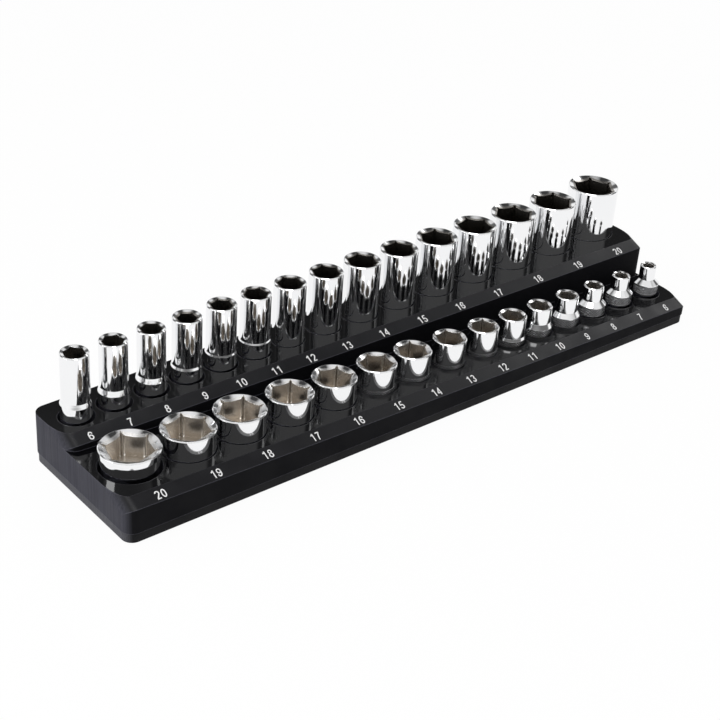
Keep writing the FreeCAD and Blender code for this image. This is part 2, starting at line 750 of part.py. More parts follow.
os.makedirs("parts", exist_ok=True)
for node in nodes:
    node.Shape.exportStep("parts/%s.step" % node.Label)
    print(node.Label, len(node.Shape.Solids), round(node.Shape.Volume, 1))
bounds = Part.makeCompound([node.Shape for node in nodes]).BoundBox
print("size", round(bounds.XLength, 2), round(bounds.YLength, 2), round(bounds.ZLength, 2))
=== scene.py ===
import bpy
import math
from mathutils import Matrix, Vector


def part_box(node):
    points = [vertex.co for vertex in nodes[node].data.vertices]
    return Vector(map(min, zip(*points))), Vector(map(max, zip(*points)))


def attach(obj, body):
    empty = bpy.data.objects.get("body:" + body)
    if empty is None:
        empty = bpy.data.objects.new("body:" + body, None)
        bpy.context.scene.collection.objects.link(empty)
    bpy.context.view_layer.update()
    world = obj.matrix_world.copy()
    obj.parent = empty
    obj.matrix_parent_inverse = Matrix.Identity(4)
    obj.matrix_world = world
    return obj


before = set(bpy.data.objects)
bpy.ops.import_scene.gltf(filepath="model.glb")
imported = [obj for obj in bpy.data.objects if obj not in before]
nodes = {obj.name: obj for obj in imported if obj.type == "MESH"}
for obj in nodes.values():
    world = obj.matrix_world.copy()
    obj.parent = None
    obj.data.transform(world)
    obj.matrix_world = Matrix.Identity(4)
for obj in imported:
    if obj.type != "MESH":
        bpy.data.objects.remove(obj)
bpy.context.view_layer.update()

# ---- sizes, metres ---------------------------------------------------------------------------------------

MM = 0.001
SIZES = range(6, 21)
STEPPED = range(6, 12)                     # these have a neck narrower than the drive end
SIXTH_TURN = math.radians(60.0)

SLOPE_RUN = 7.0 * MM
SLOPE_DROP = 3.0 * MM
LOWER_TOP = (21.0 * MM, 13.4 * MM)         # deck heights at the left and right ends
UPPER_TOP = (26.6 * MM, 35.4 * MM)
STEP_FOOT = (7.45 * MM, -4.75 * MM)        # foot of the step at the left and right ends

DIGIT_HEIGHT = 4.4 * MM
DIGIT_STEP = 0.70                          # one digit to the next, over the height
PEN = 0.135                                # width of a digit's strokes, over the height
CLOSED_GAP = PEN / 100                     # a stroke whose ends are nearer than this is a ring
PRINT_THICKNESS = 0.03 * MM
LOWER_ACROSS = 0.455                       # middle of the numbers up the slope
UPPER_ACROSS = 0.40
# Numbers stand this far to the right of their sockets' middles, mm.
LOWER_SHIFT = {6: -1.4, 7: 0.1, 8: 0.4, 9: 0.4, 10: 0.5, 11: -0.1, 12: -0.4, 13: 0.1, 14: 0.7, 15: -0.7,
               16: -0.3, 17: -0.1, 18: 0.3, 19: 0.1, 20: 0.8}
UPPER_SHIFT = {6: -1.6, 7: -1.2, 8: -1.8, 9: -1.0, 10: -0.1, 11: 0.3, 12: 0.2, 13: 0.0, 14: 0.2, 15: 0.7,
               16: 0.3, 17: -0.1, 18: 0.1, 19: -0.4, 20: -2.1}

shell_low, shell_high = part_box("tray_shell")
TRAY_LENGTH = shell_high.x - shell_low.x
TRAY_FRONT = shell_low.y


def at_ends(pair, x):
    """A value that runs straight from the left end of the tray to the right end."""
    share = (x - shell_low.x) / TRAY_LENGTH
    return pair[0] + (pair[1] - pair[0]) * share


def socket_centre(row, size):
    low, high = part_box("%s_socket_%d" % (row, size))
    return (low + high) / 2


# ---- node helpers ----------------------------------------------------------------------------------------


class Graph:
    """A material's node tree with short calls for the nodes used here."""

    def __init__(self, material):
        material.use_nodes = True
        self.tree = material.node_tree
        self.shader = self.tree.nodes["Principled BSDF"]
        self.output = self.tree.nodes["Material Output"]

    def node(self, kind, **values):
        made = self.tree.nodes.new(kind)
        for name, value in values.items():
            setattr(made, name, value)
        return made

    def link(self, source, target):
        self.tree.links.new(source, target)

    def place(self):
        """Object coordinates, which are the model's own frame in metres."""
        return self.node("ShaderNodeTexCoord").outputs["Object"]

    def math(self, operation, first, second=None, third=None):
        made = self.node("ShaderNodeMath", operation=operation)
        for socket, value in zip(made.inputs, (first, second, third)):
            if value is None:
                continue
            if isinstance(value, (int, float)):
                socket.default_value = value
            else:
                self.link(value, socket)
        return made.outputs[0]

    def noise(self, scale, detail=3.0):
        """Noise of a scale given as features to the metre."""
        made = self.node("ShaderNodeTexNoise")
        made.inputs["Scale"].default_value = scale
        made.inputs["Detail"].default_value = detail
        self.link(self.place(), made.inputs["Vector"])
        return made.outputs["Fac"]

    def upright_streaks(self, scale):
        """Noise drawn out along the height."""
        made = self.node("ShaderNodeTexNoise")
        made.inputs["Scale"].default_value = scale
        stretched = self.node("ShaderNodeMapping")
        stretched.inputs["Scale"].default_value = (1.0, 1.0, 0.01)
        self.link(self.place(), stretched.inputs["Vector"])
        self.link(stretched.outputs["Vector"], made.inputs["Vector"])
        return made.outputs["Fac"]

    def bevel(self, radius, samples):
        """Normals rounded over the edges nearby."""
        made = self.node("ShaderNodeBevel", samples=samples)
        made.inputs["Radius"].default_value = radius
        return made.outputs["Normal"]

    def between(self, value, low, high, low_out, high_out):
        """A straight change from one value to another, held beyond its ends."""
        made = self.node("ShaderNodeMapRange", clamp=True)
        self.link(value, made.inputs["Value"])
        made.inputs["From Min"].default_value = low
        made.inputs["From Max"].default_value = high
        made.inputs["To Min"].default_value = low_out
        made.inputs["To Max"].default_value = high_out
        return made.outputs["Result"]

    def three_steps(self, value, levels):
        """Straight from the first level at 0 through the second at 1 to the third at 2."""
        first, second, third = levels
        lower = self.between(value, 0.0, 1.0, first, second)
        return self.math("ADD", lower, self.between(value, 1.0, 2.0, 0.0, third - second))

    def mix(self, share, first, second):
        made = self.node("ShaderNodeMix", data_type="RGBA")
        self.link(share, made.inputs["Factor"])
        for socket, value in ((made.inputs["A"], first), (made.inputs["B"], second)):
            if isinstance(value, tuple):
                socket.default_value = (*value, 1.0)
            else:
                self.link(value, socket)
        return made.outputs["Result"]

    def window(self, value, low, high, fade):
        """1 between two values, 0 outside them."""
        rise = self.between(value, low - fade, low + fade, 0.0, 1.0)
        return self.math("MULTIPLY", rise, self.between(value, high - fade, high + fade, 1.0, 0.0))

    def bump(self, height, depth, strength, under=None):
        made = self.node("ShaderNodeBump")
        made.inputs["Strength"].default_value = strength
        made.inputs["Distance"].default_value = depth
        self.link(height, made.inputs["Height"])
        if under:
            self.link(under, made.inputs["Normal"])
        return made.outputs["Normal"]


def new_material(name):
    return bpy.data.materials.new(name)


def dress(node, material):
    """Give every material slot of a CAD node this material."""
    slots = nodes[node].material_slots
    if not slots:
        nodes[node].data.materials.append(material)
    for slot in nodes[node].material_slots:
        slot.material = material


# ---- materials: noise scales are features to the metre ---------------------------------------------------

EDGE_RADIUS = 0.45 * MM                    # rounding of the moulding's edges in the shading, and the width of the painted highlight along them
LEVEL_FROM = (0.95, 0.99)                  # height of a face's normal where a deck starts, and is whole
SLOPE_FROM = (0.50, 0.90)
END_FROM = (0.50, 0.95)                    # the same for an end face, along the tray, which gets painted light
EDGE_HIGHLIGHT_FROM = (0.995, 0.95)                  # turn of a softened normal where an edge's painted highlight starts, and is whole
# Shares added to the plastic's own colour: a painted highlight on the edges, painted light in upright
# streaks on the end faces, and a lift on the slopes.
EDGE_HIGHLIGHT = 13.0
END_LIGHT = (6.5, 9.5)
SLOPE_LIFT = 0.5
DECK_SHARE = 0.5                           # a deck's colour over a wall's
CLOUD_SCALE = 60.0
CLOUD_RANGE = (0.3, 0.7)
CLOUD_SHADES = (0.92, 1.08)
CLOUD_WEAR = (0.85, 1.2)
GRAIN_SCALE = 3200.0
GRAIN_DEPTH = 0.05 * MM
GRAIN_STRENGTH = 0.35
DECK_GRAIN = 0.15                          # what is left of the grain on a deck
# Upright streaks in the end faces' painted light, like a streaked moulding grain.
STREAK_SCALE = 1400.0
STREAK_RANGE = (0.35, 0.65)


def moulded_plastic(name, colour, roughness, sheen):
    """Black moulding: level faces are polished, walls and slopes carry a fine spark-eroded grain.
    Roughness and sheen are given for the walls, the slopes and the decks.
    The edges carry a painted highlight, and the end faces painted light in upright streaks.
    """
    material = new_material(name)
    graph = Graph(material)
    shader = graph.shader
    geometry = graph.node("ShaderNodeNewGeometry")
    facing = graph.node("ShaderNodeSeparateXYZ")
    graph.link(geometry.outputs["Normal"], facing.inputs[0])
    level = graph.between(facing.outputs["Z"], *LEVEL_FROM, 0.0, 1.0)
    slope = graph.between(facing.outputs["Z"], *SLOPE_FROM, 0.0, 1.0)
    slope_only = graph.math("SUBTRACT", slope, level)
    softened = graph.bevel(EDGE_RADIUS, 6)
    turned = graph.node("ShaderNodeVectorMath", operation="DOT_PRODUCT")
    graph.link(softened, turned.inputs[0])
    graph.link(geometry.outputs["Normal"], turned.inputs[1])
    # Painted highlight along the moulding's edges, where the softened normal turns away from the face's own.
    edge_highlight = graph.between(turned.outputs["Value"], *EDGE_HIGHLIGHT_FROM, 0.0, 1.0)
    # The end faces carry painted light, stronger in some upright streaks than in others.
    end_light_mask = graph.between(graph.math("ABSOLUTE", facing.outputs["X"]), *END_FROM, 0.0, 1.0)
    end_light_streaks = graph.between(graph.upright_streaks(STREAK_SCALE), *STREAK_RANGE, *END_LIGHT)
    cloud = graph.noise(CLOUD_SCALE)

    # Painted highlight along the edges and painted light on the end faces.
    painted_light = graph.math("ADD", graph.math("MULTIPLY", edge_highlight, EDGE_HIGHLIGHT),
                       graph.math("MULTIPLY", end_light_mask, end_light_streaks))
    lifted = graph.math("ADD", graph.between(cloud, *CLOUD_RANGE, *CLOUD_SHADES),
                        graph.math("MULTIPLY_ADD", slope_only, SLOPE_LIFT, painted_light))
    shade = graph.math("MULTIPLY", lifted, graph.between(level, 0.0, 1.0, 1.0, DECK_SHARE))
    tint = graph.node("ShaderNodeMix", data_type="RGBA", blend_type="MULTIPLY")
    tint.inputs["Factor"].default_value = 1.0
    tint.inputs["A"].default_value = (*colour, 1.0)
    graph.link(shade, tint.inputs["B"])
    graph.link(tint.outputs["Result"], shader.inputs["Base Color"])

    finish = graph.math("ADD", slope, level)
    wear = graph.between(cloud, *CLOUD_RANGE, *CLOUD_WEAR)
    worn = graph.math("MULTIPLY", graph.three_steps(finish, roughness), wear)
    graph.link(worn, shader.inputs["Roughness"])
    if len(set(sheen)) == 1:
        shader.inputs["Specular IOR Level"].default_value = sheen[0]
    else:
        graph.link(graph.three_steps(finish, sheen), shader.inputs["Specular IOR Level"])
    grain_share = graph.between(level, 0.0, 1.0, 1.0, DECK_GRAIN)
    textured = graph.math("MULTIPLY", graph.noise(GRAIN_SCALE, detail=2.0), grain_share)
    graph.link(graph.bump(textured, GRAIN_DEPTH, GRAIN_STRENGTH, under=softened), shader.inputs["Normal"])
    return material


def around(graph, centre):
    """Distance and angle about a socket's upright axis."""
    split = graph.node("ShaderNodeSeparateXYZ")
    graph.link(graph.place(), split.inputs[0])
    across = graph.math("SUBTRACT", split.outputs["X"], centre.x)
    along = graph.math("SUBTRACT", split.outputs["Y"], centre.y)
    squares = graph.math("ADD", graph.math("MULTIPLY", across, across), graph.math("MULTIPLY", along, along))
    return graph.math("SQRT", squares), graph.math("ARCTAN2", along, across), split.outputs["Z"]


MOUTH_INSET = 0.55 * MM                    # from a socket's outside to the edge of its mouth
MOUTH_SLOPE = 0.45                         # fall of the mouth's bevel
RIM_SOFTNESS = 0.13 * MM
BORE_REACH = 0.635                         # corners of the hex with their reliefs, over its size
BORE_SHADE_DEPTH = 10.0 * MM                      # the bore's painted shade deepens over this depth
BORE_ROUGHNESS = 0.20                      # over the polish of the outside
# Colours of a bore at its mouth and deep down: the darkening between them is painted shade.
BORE_COLOURS = {"shallow": ((0.97, 0.96, 0.945), (0.52, 0.47, 0.41)),
                "deep": ((0.42, 0.40, 0.375), (0.20, 0.185, 0.168))}
STAR_SPREAD = {"shallow": 0.86, "deep": 0.68}    # how far the worn corners spread towards the rim
STAR_FADE = 0.08 * MM
BORE_DEPTHS = (0.08 * MM, 0.20 * MM)       # under the mouth's bevel, where the bore starts and is whole
BEVEL_DEPTHS = (0.15 * MM, 0.30 * MM)      # off the mouth's bevel, where it counts as whole and as left
EDGE_FADE = 0.1 * MM

RELIEF = 0.045                             # radius of the reliefs in the hex's corners, over its size
CORNER_FROM = (0.50, 0.53)                 # off the axis, over the size, where a corner starts and is whole
# Across a relief, over its radius: where its painted highlight comes up and goes, and where the painted
# shade in its middle ends.
FLUTE_RISE = (0.6, 0.9)
FLUTE_FALL = (1.3, 1.7)
FLUTE_MIDDLE = (0.2, 0.6)
FLUTE_SHADE_SHARE = 0.6
# Painted highlight on the reliefs' edges and painted shade in their middles.
FLUTE_HIGHLIGHT = (1.0, 0.985, 0.96)
FLUTE_SHADE = (0.16, 0.13, 0.10)

CHROME = ((0.87, 0.875, 0.885), (0.93, 0.932, 0.938))
POLISH = (0.04, 0.07)
SMEAR_SCALE = 45.0
DULL_SCALE = 900.0
DULL_SHARE = 0.5
SCRATCH_SCALE = 5000.0
SCRATCH_DEPTH = 0.004 * MM
SCRATCH_STRENGTH = 0.25

KNURL_DEPTH = 0.12 * MM
KNURL_SHADE_HEIGHTS = (-0.6, 0.5)                 # heights of the diamonds between which the grooves' painted shade fades
KNURL_SHADE_AMOUNTS = (1.0, 0.25)
KNURL_GROOVE_SHADE = (0.16, 0.16, 0.17)


def about_side(graph, angle, turn):
    """Angle from the middle of the nearest side of a hex."""
    turned = graph.math("FLOORED_MODULO", graph.math("SUBTRACT", angle, math.radians(turn)), SIXTH_TURN)
    return graph.math("ABSOLUTE", graph.math("SUBTRACT", turned, SIXTH_TURN / 2))


def bore_mask(graph, row, size, reach, mouth, top, off, radius, height):
    """The broached bore, and the worn corners that run from it up the mouth's bevel; also the depth."""
    lip = graph.math("MULTIPLY_ADD", radius, MOUTH_SLOPE, top - mouth * MOUTH_SLOPE)
    depth = graph.math("SUBTRACT", lip, height)
    in_bore = graph.math("MULTIPLY", graph.between(radius, reach, reach + EDGE_FADE, 1.0, 0.0),
                         graph.between(depth, *BORE_DEPTHS, 0.0, 1.0))
    spread = STAR_SPREAD[row]
    side = size / 2 * MM * (1 - spread) + mouth * math.cos(SIXTH_TURN / 2) * spread
    square = graph.math("MULTIPLY", radius, graph.math("COSINE", off))
    star = graph.between(square, side - STAR_FADE, side + STAR_FADE, 1.0, 0.0)
    near_lip = graph.between(graph.math("ABSOLUTE", depth), *BEVEL_DEPTHS, 1.0, 0.0)
    on_bevel = graph.math("MULTIPLY", graph.between(radius, mouth - EDGE_FADE, mouth, 1.0, 0.0), near_lip)
    return graph.math("MAXIMUM", in_bore, graph.math("MULTIPLY", star, on_bevel)), depth


def fluted(graph, colour, size, off, radius):
    """Painted highlights on the edges and painted shade in the middle of the reliefs in the corners of a
    hex.
    """
    relief = size * RELIEF * MM
    start, whole = (share * size * MM for share in CORNER_FROM)
    by_corner = graph.between(radius, start, whole, 0.0, 1.0)
    from_corner = graph.math("SINE", graph.math("SUBTRACT", SIXTH_TURN / 2, off))
    across = graph.math("DIVIDE", graph.math("MULTIPLY", radius, from_corner), relief)
    flute_highlight = graph.math("MULTIPLY", graph.between(across, *FLUTE_RISE, 0.0, 1.0),
                      graph.between(across, *FLUTE_FALL, 1.0, 0.0))
    lit = graph.mix(graph.math("MULTIPLY", flute_highlight, by_corner), colour, FLUTE_HIGHLIGHT)
    middle = graph.between(across, *FLUTE_MIDDLE, FLUTE_SHADE_SHARE, 0.0)
    return graph.mix(graph.math("MULTIPLY", middle, by_corner), lit, FLUTE_SHADE)


def knurled(graph, knurl, rim_radius, angle, height):
    """Crossed ridges round a socket: their height, and where their band is."""
    low, high, ridges = knurl
    turns = graph.math("MULTIPLY", angle, ridges)
    rise = graph.math("MULTIPLY", height, ridges / rim_radius)
    one = graph.math("SINE", graph.math("ADD", turns, rise))
    two = graph.math("SINE", graph.math("SUBTRACT", turns, rise))
    return graph.math("MINIMUM", one, two), graph.window(height, low, high, EDGE_FADE)


def chrome_socket(row, size, rim_radius, reach, turn, knurl):
    """Polished chrome outside, a duller broached bore inside with painted shade deepening down it, and a
    knurled band with painted shade in its grooves where the size has one; on the shallow row the corner
    reliefs carry painted highlights and painted shade.
    """
    material = new_material("chrome_%s_%d" % (row, size))
    graph = Graph(material)
    shader = graph.shader
    shader.inputs["Metallic"].default_value = 1.0
    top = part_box("%s_socket_%d" % (row, size))[1].z
    radius, angle, height = around(graph, socket_centre(row, size))
    off = about_side(graph, angle, turn)
    inside, depth = bore_mask(graph, row, size, reach, rim_radius - MOUTH_INSET, top, off, radius, height)

    mottle = graph.math("SUBTRACT", graph.noise(DULL_SCALE, detail=4.0), 0.5)
    # Painted shade down the bore, with a random mottle in it.
    fade = graph.between(depth, 0.0, BORE_SHADE_DEPTH, 0.0, 1.0)
    shaded = graph.math("MULTIPLY_ADD", mottle, DULL_SHARE, fade)
    bore = graph.mix(graph.between(shaded, 0.0, 1.0, 0.0, 1.0), *BORE_COLOURS[row])
    if row == "shallow":
        bore = fluted(graph, bore, size, off, radius)

    smear = graph.noise(SMEAR_SCALE, detail=2.0)
    polish = graph.between(smear, *CLOUD_RANGE, *POLISH)
    rough = graph.math("ADD", polish, graph.math("MULTIPLY", inside, BORE_ROUGHNESS))
    graph.link(rough, shader.inputs["Roughness"])
    outer = graph.mix(smear, *CHROME)
    normal = graph.bump(graph.noise(SCRATCH_SCALE, detail=2.0), SCRATCH_DEPTH, SCRATCH_STRENGTH,
                        under=graph.bevel(RIM_SOFTNESS, 4))
    if knurl:
        diamond, band = knurled(graph, knurl, rim_radius, angle, height)
        outside = graph.math("SUBTRACT", 1.0, inside)
        pattern = graph.math("MULTIPLY", graph.math("MULTIPLY", diamond, band), outside)
        normal = graph.bump(pattern, KNURL_DEPTH, 1.0, under=normal)
        # Painted shade in the knurl's grooves.
        groove_shade = graph.math("MULTIPLY", graph.between(diamond, *KNURL_SHADE_HEIGHTS, *KNURL_SHADE_AMOUNTS), band)
        outer = graph.mix(groove_shade, outer, KNURL_GROOVE_SHADE)
    graph.link(normal, shader.inputs["Normal"])
    graph.link(graph.mix(inside, outer, bore), shader.inputs["Base Color"])
    return material


PLATING_SHADE = 0.85                       # darkest patches of a plated face, over its colour
PLATING_SCALE = 400.0
PLATING_WEAR = (0.8, 1.2)                  # least and most roughness, over the one given
PLATING_WEAR_SCALE = 150.0
PLATING_GRAIN_SCALE = 2500.0

INK_SHADES = ((0.80, 0.80, 0.80), (0.90, 0.90, 0.90))
INK_SCALE = 2000.0
INK_ROUGHNESS = 0.45
INK_GRAIN_SCALE = 3000.0

SKIN_DEPTH = 0.01 * MM                     # relief of plating and of ink
SKIN_STRENGTH = 0.3


def plated_steel(name, colour, roughness):
    """The hidden metal: a slightly mottled plating."""
    material = new_material(name)
    graph = Graph(material)
    shader = graph.shader
    shader.inputs["Metallic"].default_value = 1.0
    dark = tuple(part * PLATING_SHADE for part in colour)
    graph.link(graph.mix(graph.noise(PLATING_SCALE), dark, colour), shader.inputs["Base Color"])
    least, most = (share * roughness for share in PLATING_WEAR)
    worn = graph.between(graph.noise(PLATING_WEAR_SCALE), *CLOUD_RANGE, least, most)
    graph.link(worn, shader.inputs["Roughness"])
    relief = graph.bump(graph.noise(PLATING_GRAIN_SCALE), SKIN_DEPTH, SKIN_STRENGTH)
    graph.link(relief, shader.inputs["Normal"])
    return material


def white_print(name):
    """Pad-printed ink: nearly even, with a slight mottle where it is thin."""
    material = new_material(name + "_ink")
    graph = Graph(material)
    shader = graph.shader
    graph.link(graph.mix(graph.noise(INK_SCALE), *INK_SHADES), shader.inputs["Base Color"])
    shader.inputs["Roughness"].default_value = INK_ROUGHNESS
    relief = graph.bump(graph.noise(INK_GRAIN_SCALE), SKIN_DEPTH, SKIN_STRENGTH)
    graph.link(relief, shader.inputs["Normal"])
    return material


# ---- dress the CAD nodes ---------------------------------------------------------------------------------

TRAY_BLACK = (0.0052, 0.0052, 0.0064)
BASE_BLACK = (0.0075, 0.0075, 0.0085)
# Roughness and sheen of the walls, the slopes and the decks.
TRAY_ROUGHNESS = (0.64, 0.36, 0.09)
TRAY_SHEEN = (0.06, 0.24, 0.26)
BASE_ROUGHNESS = (0.50, 0.50, 0.40)
BASE_SHEEN = (0.10, 0.10, 0.10)
# Colours and roughness of the hidden metal.
NICKEL = ((0.62, 0.61, 0.58), 0.22)
STRIP_ZINC = ((0.52, 0.53, 0.55), 0.35)
SCREW_ZINC = ((0.50, 0.51, 0.53), 0.30)

dress("tray_shell", moulded_plastic("tray_plastic", TRAY_BLACK, TRAY_ROUGHNESS, TRAY_SHEEN))
dress("base_plate", moulded_plastic("base_plastic", BASE_BLACK, BASE_ROUGHNESS, BASE_SHEEN))
for row in ("shallow", "deep"):
    dress("%s_row_magnets" % row, plated_steel("magnet_nickel_%s" % row, *NICKEL))
    dress("%s_keeper_strip" % row, plated_steel("strip_zinc_%s" % row, *STRIP_ZINC))
dress("base_screws", plated_steel("screw_zinc", *SCREW_ZINC))

# Diameters at the mouths of the stepped sockets, and the heights of the rings' undersides, mm.
NECK = {6: 9.2, 7: 10.2, 8: 11.4, 9: 12.9, 10: 14.0, 11: 15.3}
DEEP_NECK = {6: 13.9, 7: 14.0, 8: 14.1, 9: 14.9, 10: 15.3, 11: 15.7}
RING_FOOT = {6: 20.4, 7: 20.5, 8: 20.1, 9: 19.5, 10: 19.0, 11: 18.3}
LEAD_FLATS = {6: 9.7, 7: 9.8, 8: 9.8}
# Degrees that each socket stands turned in its well.
SHALLOW_TURN = {6: 45, 7: 49, 8: 15, 9: 28, 10: 6, 11: 10, 12: 51, 13: 5, 14: 0, 15: 23, 16: 44, 17: 51,
                18: 46, 19: 13, 20: 17}
DEEP_TURN = {6: 18, 7: 41, 8: 27, 9: 30, 10: 16, 11: 40, 12: 24, 13: 9, 14: 9, 15: 2, 16: 56, 17: 16,
             18: 42, 19: 44, 20: 53}
KNURL_HEIGHT = 4.5 * MM
KNURL_RIDGES = 34
WIDER_RIDGES = 2                           # more ridges for each size above the stepped ones
UNDER_RING = 0.3 * MM
ABOVE_DECK = 2.2 * MM
SMOOTH_FROM = 16                           # sockets from this size up have no knurling in sight


def knurl_band(row, size):
    """Low and high end of a shallow socket's knurling, and its ridges; None where a socket has none.
    It lies under the ring of a stepped socket, and at the deck on the sizes above those.
    """
    if row == "deep" or size >= SMOOTH_FROM:
        return None
    if size in STEPPED:
        top = RING_FOOT[size] * MM - UNDER_RING
        return top - KNURL_HEIGHT, top, KNURL_RIDGES
    top = at_ends(LOWER_TOP, socket_centre(row, size).x) + ABOVE_DECK
    return top - KNURL_HEIGHT, top, KNURL_RIDGES + WIDER_RIDGES * (size - STEPPED[-1])


for row in ("shallow", "deep"):
    for size in SIZES:
        node = "%s_socket_%d" % (row, size)
        low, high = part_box(node)
        rim = (high.x - low.x) / 2
        if size in STEPPED:
            rim = (NECK if row == "shallow" else DEEP_NECK)[size] / 2 * MM
        reach = BORE_REACH * size * MM
        if row == "deep" and size in LEAD_FLATS:
            reach = LEAD_FLATS[size] / math.sqrt(3) * MM
        turn = (SHALLOW_TURN if row == "shallow" else DEEP_TURN)[size]
        dress(node, chrome_socket(row, size, rim, reach, turn, knurl_band(row, size)))


# ---- printed size numbers --------------------------------------------------------------------------------


def slope_frame(x, tops, feet, across):
    """Place on a label slope: its centre, and the directions along it, up it and out of it."""
    top = at_ends(tops, x)
    foot = at_ends(feet, x)
    centre = Vector((x, foot + SLOPE_RUN * across, top - SLOPE_DROP * (1 - across)))
    along = Vector((TRAY_LENGTH, feet[1] - feet[0], tops[1] - tops[0])).normalized()
    rise = Vector((0, SLOPE_RUN, SLOPE_DROP))
    up = (rise - along * rise.dot(along)).normalized()
    return centre, along, up, along.cross(up)


def arc(x, y, across, up, first, last, steps=20):
    """Points of an ellipse from one angle to another, in degrees."""
    turns = [math.radians(first + (last - first) * i / steps) for i in range(steps + 1)]
    return [(x + across * math.cos(turn), y + up * math.sin(turn)) for turn in turns]


def half_turned(strokes):
    return [[(DIGIT_WIDTH - x, 1 - y) for x, y in stroke] for stroke in strokes]


# Middle lines of the strokes of each digit, one unit high.
DIGIT_WIDTH = 0.56
MIDDLE = DIGIT_WIDTH / 2
SIX = [arc(MIDDLE, 0.31, 0.21, 0.2475, 0, 360), [(0.07, 0.31)] + arc(0.31, 0.50, 0.24, 0.4375, 180, 28)]
DIGITS = {
    "0": [arc(MIDDLE, 0.5, 0.21, 0.4375, 0, 360, 32)],
    "1": [[(0.345, 1.0), (0.345, 0.0)], [(0.335, 0.96), (0.28, 0.88), (0.19, 0.80), (0.09, 0.745)]],
    "2": [arc(MIDDLE, 0.715, 0.205, 0.2225, 172, -32) + [(0.26, 0.30), (0.09, 0.0625)],
          [(0.05, 0.0625), (0.51, 0.0625)]],
    "3": [arc(MIDDLE - 0.01, 0.735, 0.185, 0.2025, 160, -88)
          + arc(MIDDLE - 0.01, 0.295, 0.215, 0.2325, 84, -162)],
    "4": [[(0.40, 1.0), (0.40, 0.0)], [(0.385, 0.93), (0.055, 0.33)], [(0.02, 0.285), (0.54, 0.285)]],
    "5": [[(0.49, 0.9375), (0.13, 0.9375)], [(0.155, 0.94), (0.10, 0.50)],
          arc(MIDDLE - 0.01, 0.31, 0.215, 0.2475, 146, -158)],
    "6": SIX,
    "7": [[(0.05, 0.9375), (0.52, 0.9375)], [(0.49, 0.93), (0.34, 0.68), (0.24, 0.36), (0.205, 0.0)]],
    "8": [arc(MIDDLE, 0.735, 0.18, 0.2025, 0, 360), arc(MIDDLE, 0.295, 0.215, 0.2325, 0, 360)],
    "9": half_turned(SIX),
}


def pen_stroke(points):
    """Edges of a stroke: the points at its left and right, half a pen from its middle line."""
    closed = math.dist(points[0], points[-1]) < CLOSED_GAP
    sides = []
    for i, (x, y) in enumerate(points):
        before = points[i - 1] if i else (points[-2] if closed else points[0])
        after = points[i + 1] if i + 1 < len(points) else (points[1] if closed else points[-1])
        run, rise = after[0] - before[0], after[1] - before[1]
        length = math.hypot(run, rise)
        across, up = -rise / length * PEN / 2, run / length * PEN / 2
        sides.append(((x + across, y + up), (x - across, y - up)))
    return sides


def printed_number(name, text, place, ink):
    """A number drawn as flat strokes of ink in the plane of a slope."""
    centre, along, up, out = place
    left = -(len(text) - 1) * DIGIT_STEP / 2 - MIDDLE
    points, faces = [], []
    for i, digit in enumerate(text):
        for stroke in DIGITS[digit]:
            sides = pen_stroke(stroke)
            first = len(points)
            for pair in sides:
                for x, y in pair:
                    across = (left + i * DIGIT_STEP + x) * DIGIT_HEIGHT
                    rise = (y - 0.5) * DIGIT_HEIGHT
                    points.append(centre + along * across + up * rise + out * PRINT_THICKNESS)
            for step in range(first, first + 2 * len(sides) - 2, 2):
                faces.append((step, step + 1, step + 3, step + 2))
    mesh = bpy.data.meshes.new(name)
    mesh.from_pydata(points, [], faces)
    mesh.materials.append(ink)
    return mesh


def number_row(name, row, tops, feet, across, shifts):
    """The numbers of one slope, each a piece of its own."""
    ink = white_print(name)
    for size in SIZES:
        x = socket_centre(row, size).x + shifts[size] * MM
        title = "%s_%d" % (name, size)
        mesh = printed_number(title, str(size), slope_frame(x, tops, feet, across), ink)
        piece = bpy.data.objects.new(title, mesh)
        bpy.context.scene.collection.objects.link(piece)
        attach(piece, "tray")


number_row("lower_number", "shallow", LOWER_TOP, (TRAY_FRONT, TRAY_FRONT), LOWER_ACROSS, LOWER_SHIFT)
number_row("upper_number", "deep", UPPER_TOP, STEP_FOOT, UPPER_ACROSS, UPPER_SHIFT)


# ---- floor, lights, world and camera ---------------------------------------------------------------------


def stage_plane(name, size):
    half = size / 2
    corners = [(-half, -half, 0), (half, -half, 0), (half, half, 0), (-half, half, 0)]
    mesh = bpy.data.meshes.new(name)
    mesh.from_pydata(corners, [], [(0, 1, 2, 3)])
    plane = bpy.data.objects.new(name, mesh)
    bpy.context.scene.collection.objects.link(plane)
    return plane


def seen_or_reflected(graph):
    """1 for a camera, glossy or transmission ray."""
    path = graph.node("ShaderNodeLightPath")
    either = graph.math("MAXIMUM", path.outputs["Is Camera Ray"], path.outputs["Is Glossy Ray"])
    return graph.math("MAXIMUM", either, path.outputs["Is Transmission Ray"])


FLOOR_SIZE = 12.0
FLOOR_DROP = 0.2 * MM                      # the floor lies this far under the tray
FLOOR_COLOUR = (0.90, 0.90, 0.90, 1.0)
FLOOR_ROUGHNESS = 0.9
FLOOR_WHITE = 0.95                         # share of plain white where the floor is seen; the rest is lit
WHITE = (1.0, 1.0, 1.0, 1.0)


